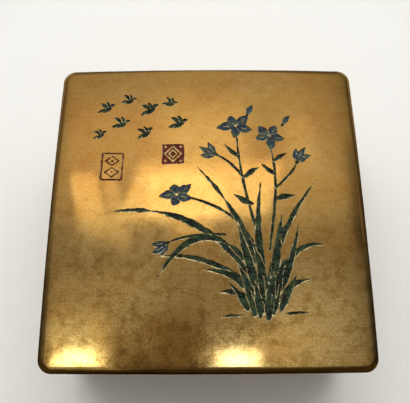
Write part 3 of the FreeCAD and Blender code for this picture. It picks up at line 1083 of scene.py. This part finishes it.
# Silk floss soaked in ink: black, wet and fibrous, with a broken shine.
def soakedSilk():
    look = silkLook
    material, tree, place = newMaterial("ink_soaked_silk")
    noises, shares = addPatterns(tree, place, look["patterns"])
    swirl = addNode(tree, "VectorMath", {0: noises["bend"].outputs["Color"], 1: [look["swirl"] * mm] * 3,
                                         2: place}, operation="MULTIPLY_ADD")
    combed, pale = addPatterns(tree, swirl, {"fibres": look["fibres"]})
    colour = addNode(tree, "Mix", {0: pale["fibres"], 6: look["black"], 7: look["pale"]})
    rough, strength = (addNode(tree, "MapRange", {"Value": shares["drained"], "To Min": wet, "To Max": dry})
                       for wet, dry in (look["roughness"], look["relief"]))
    bump = addNode(tree, "Bump", {"Strength": strength, "Distance": 0.08 * mm, "Height": combed["fibres"]})
    return addSurface(material, {"Base Color": colour, "Roughness": rough, "IOR": 1.4, "Normal": bump})


def creased(mesh, low, high):  # the floss in folds, kept inside the solid's box
    form = waddingForm
    middle, reach = (low + high) / 2, (high - low) / 2
    below, above = form["room"]
    for vertex in mesh.vertices:
        place = vertex.co
        fromMiddle = max(abs(place.x - middle.x) / reach.x, abs(place.y - middle.y) / reach.y)
        crease = 0.0
        for length, height in form["folds"]:
            crease += height * (abs(noise.noise(place / length + Vector((3.1, 0.0, 7.7)))) * 2 - 0.75)
        crown = form["crown"] * (1 - min(fromMiddle, 1.0) ** 2) if place.z > middle.z else 0.0
        moved = place + vertex.normal * crease * 0.6 + Vector((0, 0, crown))
        vertex.co = Vector([min(max(moved[k], low[k] + below), high[k] - above) for k in range(3)])


def buildWadding():
    low, high = (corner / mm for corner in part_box("ink_wadding"))
    mesh = waddingShape(low, high)
    mesh = swollen(mesh)
    pad = bpy.data.objects.new("soaked_silk_wadding", mesh)
    scene.collection.objects.link(pad)
    subdivide = pad.modifiers.new("fine", "SUBSURF")
    subdivide.levels = subdivide.render_levels = 2
    mesh = evaluatedMesh(pad)
    pad.modifiers.clear()
    pad.data = mesh
    creased(mesh, low, high)
    mesh.transform(Matrix.Scale(mm, 4))
    mesh.materials.clear()
    mesh.materials.append(soakedSilk())
    mesh.shade_smooth()
    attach(pad, "base")
    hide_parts("ink_wadding")


buildWadding()
print("wadding built")

# floor, light and camera
studio = {
    "floor": ("#F4F2ED", "#BAB6AE"),  # near the box, and further away where painted shade darkens it
    "floorShadeFade": (105.0, 230.0),      # mm from the middle, where the painted shade begins and where it is full
    "floorSize": 1.5,                 # metres, half its width
    "lampDistance": 1.6,
    "lamps": {  # degrees west of north, degrees from the zenith, radiance, width and height in metres
        "skylight": (1.0, 50.0, 4.25, 2.6, 0.9),
        "westWindow": (66.0, 60.0, 0.70, 1.0, 0.8),
        "eastWindow": (-70.0, 62.0, 0.90, 1.0, 0.8),
    },
    # what the polished lid mirrors, in degrees north or east of the zenith: how bright it is there
    "north": ((-90, 0.07), (-60, 0.05), (-38, 0.07), (-25, 0.13), (-17, 0.26), (-12, 0.37), (-8.5, 0.46),
              (0, 0.43), (6, 0.42), (10, 0.46), (13, 0.52), (16, 0.68), (21, 0.80), (26, 0.76), (30, 0.70),
              (36, 0.60), (70, 0.52), (90, 0.45)),
    "east": ((-90, 0.12), (-60, 0.26), (-40, 0.42), (-31, 0.56), (-26, 0.76), (-20, 0.86), (-12, 0.95),
             (-4, 1.0), (14, 1.0), (18, 0.90), (21, 0.80), (24, 0.64), (29, 0.44), (40, 0.34), (60, 0.15),
             (90, 0.08)),
    # Bright and dark things overhead: degrees east and degrees north where each starts, is full, is still
    # full and has ended, what it adds, and how far it leans east for each degree north.
    "mirrored": {
        "mainWindow": ((-12.2, -11.2, 10.2, 11.4), (13.4, 15.4, 21.4, 24.0), (0.95, 0.95, 0.84), 0.35),
        "lowPane": ((-9.8, -8.0, 1.5, 4.5), (13.2, 15.6, 20.0, 21.6), (0.60, 0.60, 0.58)),
        "windowFoot": ((-5.5, -3.8, 0.4, 2.0), (10.6, 12.4, 14.6, 16.0), (0.62, 0.61, 0.56)),
        "highPane": ((-11.0, -3.5, 4.5, 9.0), (21.8, 23.8, 26.0, 36.0), (0.42, 0.41, 0.38)),
        "sidePane": ((-21.2, -19.8, -16.4, -15.4), (9.0, 15.5, 20.4, 22.4), (0.80, 0.79, 0.68), -0.38),
        "middlePane": ((-14.8, -14.0, -12.8, -12.0), (8.5, 11.5, 19.0, 24.0), (0.50, 0.49, 0.44), -0.30),
        "farPane": ((12.0, 14.5, 17.0, 19.0), (21.0, 23.5, 28.0, 31.0), (0.18, 0.17, 0.16)),
        "eastPost": ((22.0, 25.5, 34.0, 40.0), (6.0, 14.0, 24.0, 29.0), (-0.16, -0.16, -0.16)),
        "handOver": ((-14.5, -12.0, -1.5, 1.5), (-24.0, -12.0, -2.5, 2.6), (-0.18, -0.217, -0.26)),
        "leftGlow": ((-30.0, -22.0, -15.5, -12.5), (-50.0, -13.0, -3.6, 3.0), (0.56, 0.60, 0.50)),
        "rightGlow": ((3.5, 8.0, 10.0, 23.0), (-26.0, -12.0, -5.0, 1.5), (0.27, 0.29, 0.25)),
        "rightVeil": ((5.0, 13.0, 22.0, 34.0), (-24.0, -14.0, 1.0, 9.0), (0.11, 0.11, 0.11)),
        "leftSheen": ((-27.0, -20.0, -12.0, -3.0), (19.0, 25.0, 29.0, 34.0), (0.12, 0.06, 0.03)),
        "leftPatch": ((-30.0, -22.0, -10.0, -3.0), (-6.0, -2.0, 4.5, 8.0), (0.16, 0.16, 0.14)),
        "rightPatch": ((8.0, 12.5, 17.0, 23.0), (-5.0, -2.0, 3.0, 7.0), (0.14, 0.14, 0.13)),
        "frontLeft": ((-90.0, -89.0, -40.0, -22.0), (-90.0, -89.0, -40.0, -16.0), (0.07, 0.066, 0.05)),
        "frontRight": ((20.0, 36.0, 89.0, 90.0), (-90.0, -89.0, -40.0, -16.0), (0.07, 0.066, 0.05)),
        "southWall": ((-90.0, -89.0, 89.0, 90.0), (-90.0, -89.0, -34.0, -14.0), (0.0, -0.016, -0.038)),
        "leftLamp": ((-25.0, -18.0, -16.4, -13.6), (-14.0, -10.0, -7.6, -3.0), (4.6, 5.6, 6.4)),
        "rightLamp": ((0.8, 3.0, 6.2, 8.4), (-14.0, -10.0, -8.0, -4.0), (6.6, 7.8, 9.4)),
    },
    # low down, where only other views look, the rest of the room shines, most between the four sides
    "horizon": {"height": (0.36, 0.22), "sides": 0.06, "spread": (0.28, 0.44), "corners": 0.50,
                "south": 0.40, "southFade": (-0.3, 0.3), "colour": (1.0, 0.98, 0.95)},
    "background": "#F3F2EE",
    "camera": {
        "place": (-0.81, -34.3, 154.65),  # mm
        "turn": (16.67, -0.02, -0.24),    # degrees
        "frameWidth": 410.0,              # and how far the lens is from the frame, in the same units
        "lensDistance": 455.2,
    },
}


def mirroredThings(tree, angles, seen):  # adds each window, post and lamp to what is seen
    for east, north, adds, *lean in studio["mirrored"].values():
        lean = lean[0] if lean else 0.0
        leaning = addNode(tree, "Math", {0: angles["north"], 1: -lean, 2: angles["east"]},
                          operation="MULTIPLY_ADD")
        shift = lean * (north[1] + north[2]) / 2
        share = 1.0
        for angle, ends, offset in ((leaning, east, shift), (angles["north"], north, 0.0)):
            begin, full, fading, end = (math.radians(a - offset) for a in ends)
            for low, high, outside, inside in ((begin, full, 0.0, 1.0), (fading, end, 1.0, 0.0)):
                step = addNode(tree, "MapRange", {"Value": angle, "From Min": low, "From Max": high,
                                                  "To Min": outside, "To Max": inside},
                               interpolation_type="SMOOTHSTEP")
                share = addNode(tree, "Math", {0: share, 1: step}, operation="MULTIPLY")
        seen = addNode(tree, "VectorMath", {0: adds, 1: share, 2: seen}, operation="MULTIPLY_ADD")
    return seen


def lowRoom(tree, direction, seen):  # adds the room near the horizon
    horizon = studio["horizon"]
    squared = addNode(tree, "Math", {0: direction["Z"], 1: direction["Z"]}, operation="MULTIPLY")
    across = addNode(tree, "Math", {0: 1.0001, 1: squared}, operation="SUBTRACT")  # never zero
    crossed = addNode(tree, "Math", {0: direction["X"], 1: direction["Y"]}, operation="MULTIPLY")
    crossed = addNode(tree, "Math", {0: crossed, 1: across}, operation="DIVIDE")
    diagonal = addNode(tree, "Math", {0: crossed}, operation="ABSOLUTE")
    between = addNode(tree, "MapRange", {"Value": diagonal, "From Min": horizon["spread"][0],
                                         "From Max": horizon["spread"][1], "To Min": horizon["sides"],
                                         "To Max": horizon["sides"] + horizon["corners"]})
    low = addNode(tree, "MapRange", {"Value": direction["Z"], "From Min": horizon["height"][0],
                                     "From Max": horizon["height"][1]}, interpolation_type="SMOOTHSTEP")
    facing = addNode(tree, "MapRange", {"Value": direction["Y"], "From Min": horizon["southFade"][0],
                                        "From Max": horizon["southFade"][1], "To Min": horizon["south"]})
    share = addNode(tree, "Math", {0: between, 1: low}, operation="MULTIPLY")
    share = addNode(tree, "Math", {0: share, 1: facing}, operation="MULTIPLY")
    return addNode(tree, "VectorMath", {0: horizon["colour"], 1: share, 2: seen}, operation="MULTIPLY_ADD")


def buildRoom():
    world = bpy.data.worlds.new("room")
    scene.world = world
    world.use_nodes = True
    tree = world.node_tree
    tree.nodes.clear()
    direction = addNode(tree, "SeparateXYZ", {0: addNode(tree, "TexCoord").outputs["Generated"]}).outputs
    angles, levels = {}, []
    for side, part in (("east", "X"), ("north", "Y")):
        angles[side] = addNode(tree, "Math", {0: direction[part], 1: direction["Z"]}, operation="ARCTAN2")
        share = addNode(tree, "MapRange", {"Value": angles[side], "From Min": -math.pi / 2,
                                           "From Max": math.pi / 2})
        ramp = addNode(tree, "ValToRGB", {"Fac": share})
        stops = ramp.color_ramp.elements
        while len(stops) < len(studio[side]):
            stops.new(0.5)
        for stop, (degrees, level) in zip(stops, studio[side]):
            stop.position = (degrees + 90) / 180
            stop.color = (level, level, level, 1)
        levels.append(ramp)
    seen = addNode(tree, "VectorMath", {0: levels[0], 1: levels[1]}, operation="MULTIPLY")
    seen = lowRoom(tree, direction, mirroredThings(tree, angles, seen))
    room = addNode(tree, "Background", {"Color": seen, "Strength": 1.0})
    pale = addNode(tree, "Background", {"Color": studio["background"], "Strength": 1.0})
    path = addNode(tree, "LightPath")
    shown = addNode(tree, "MixShader", {0: path.outputs["Is Camera Ray"], 1: room, 2: pale})
    addNode(tree, "OutputWorld", {"Surface": shown})


def hangLamps():
    for name, (west, slant, radiance, width, height) in studio["lamps"].items():
        west, slant = math.radians(west), math.radians(slant)
        way = Vector((-math.sin(west) * math.sin(slant), math.cos(west) * math.sin(slant), math.cos(slant)))
        lamp = bpy.data.lights.new(name, "AREA")
        lamp.shape = "RECTANGLE"
        lamp.size, lamp.size_y = width, height
        lamp.energy = radiance * math.pi * width * height
        holder = bpy.data.objects.new(name, lamp)
        holder.location = way * studio["lampDistance"]
        holder.rotation_euler = (-way).to_track_quat("-Z", "Y").to_euler()
        holder.visible_glossy = False  # the room above holds what the metal mirrors
        scene.collection.objects.link(holder)


def layFloor():
    material, tree, place = newMaterial("pale_table")
    away = addNode(tree, "VectorMath", {0: place}, operation="LENGTH")
    near, far = (distance * mm for distance in studio["floorShadeFade"])
    fade = addNode(tree, "MapRange", {"Value": away, "From Min": near, "From Max": far},
                   interpolation_type="SMOOTHSTEP")
    # painted shade: the table darkens away from the box
    colour = addNode(tree, "Mix", {0: fade, 6: studio["floor"][0], 7: studio["floor"][1]})
    addSurface(material, {"Base Color": colour, "Roughness": 0.7})
    size = studio["floorSize"]
    corners = [(-size, -size, 0), (size, -size, 0), (size, size, 0), (-size, size, 0)]
    floor = addMesh("floor", corners, [[0, 1, 2, 3]], [material])


def placeCamera():
    look = studio["camera"]
    camera = bpy.data.cameras.new("camera")
    camera.sensor_width = 36.0
    camera.lens = look["lensDistance"] / look["frameWidth"] * camera.sensor_width
    camera.clip_start = 0.005
    view = bpy.data.objects.new("camera", camera)
    view.location = Vector(look["place"]) * mm
    view.rotation_euler = Euler([math.radians(a) for a in look["turn"]])
    scene.collection.objects.link(view)
    scene.camera = view


buildRoom()
hangLamps()
layFloor()
placeCamera()
print("room, floor and camera placed")
